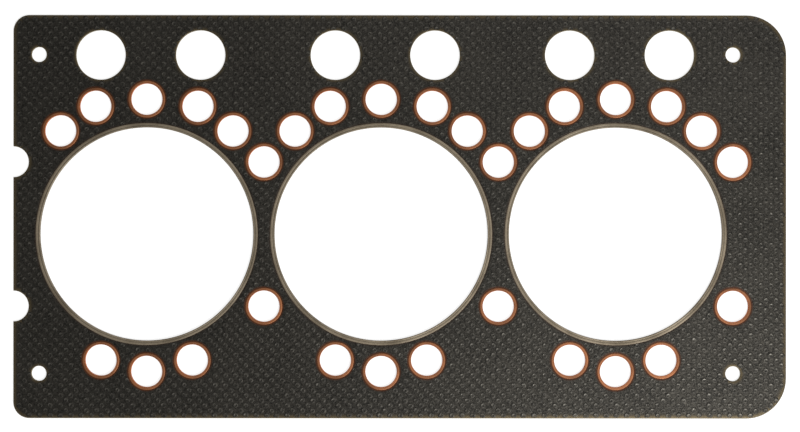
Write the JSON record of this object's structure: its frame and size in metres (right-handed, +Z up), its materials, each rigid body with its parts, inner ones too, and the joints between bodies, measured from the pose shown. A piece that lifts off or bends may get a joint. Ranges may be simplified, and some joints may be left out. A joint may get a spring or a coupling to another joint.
{
  "type": "cylinder head gasket",
  "caption": "Flat composite cylinder head gasket with steel fire rings round its bores and copper eyelets round its stud holes and coolant ports.",
  "frame": {"origin": "on the middle cylinder bore's axis, in the plane of the fire rings' lower flange faces, on which the gasket rests", "axes": "+X along the row of bores towards the long rounded end, +Y towards the push-rod side, +Z up towards the cylinder head"},
  "size_m": [0.3858, 0.2013, 0.0016],
  "materials": {
    "facing": "matte",
    "core_steel": "satin",
    "ring_steel": "satin",
    "eyelet_copper": "satin"
  },
  "bodies": {
    "root": {"block_side_facing": "facing", "core_plate": "core_steel", "head_side_facing": "facing", "fire_ring_1": "ring_steel", "stud_eyelet_1_corner_upper": "eyelet_copper", "stud_eyelet_1_corner_lower": "eyelet_copper", "stud_eyelet_1_upper_left": "eyelet_copper", "stud_eyelet_1_upper_right": "eyelet_copper", "stud_eyelet_1_lower": "eyelet_copper", "coolant_eyelet_1_top": "eyelet_copper", "coolant_eyelet_1_side_left": "eyelet_copper", "coolant_eyelet_1_side_right": "eyelet_copper", "coolant_eyelet_1_lower_left": "eyelet_copper", "coolant_eyelet_1_lower_right": "eyelet_copper", "fire_ring_2": "ring_steel", "stud_eyelet_2_corner_upper": "eyelet_copper", "stud_eyelet_2_corner_lower": "eyelet_copper", "stud_eyelet_2_upper_left": "eyelet_copper", "stud_eyelet_2_upper_right": "eyelet_copper", "stud_eyelet_2_lower": "eyelet_copper", "coolant_eyelet_2_top": "eyelet_copper", "coolant_eyelet_2_side_left": "eyelet_copper", "coolant_eyelet_2_side_right": "eyelet_copper", "coolant_eyelet_2_lower_left": "eyelet_copper", "coolant_eyelet_2_lower_right": "eyelet_copper", "fire_ring_3": "ring_steel", "stud_eyelet_3_corner_upper": "eyelet_copper", "stud_eyelet_3_corner_lower": "eyelet_copper", "stud_eyelet_3_upper_left": "eyelet_copper", "stud_eyelet_3_upper_right": "eyelet_copper", "stud_eyelet_3_lower": "eyelet_copper", "coolant_eyelet_3_top": "eyelet_copper", "coolant_eyelet_3_side_left": "eyelet_copper", "coolant_eyelet_3_side_right": "eyelet_copper", "coolant_eyelet_3_lower_left": "eyelet_copper", "coolant_eyelet_3_lower_right": "eyelet_copper"}
  },
  "joints": []
}
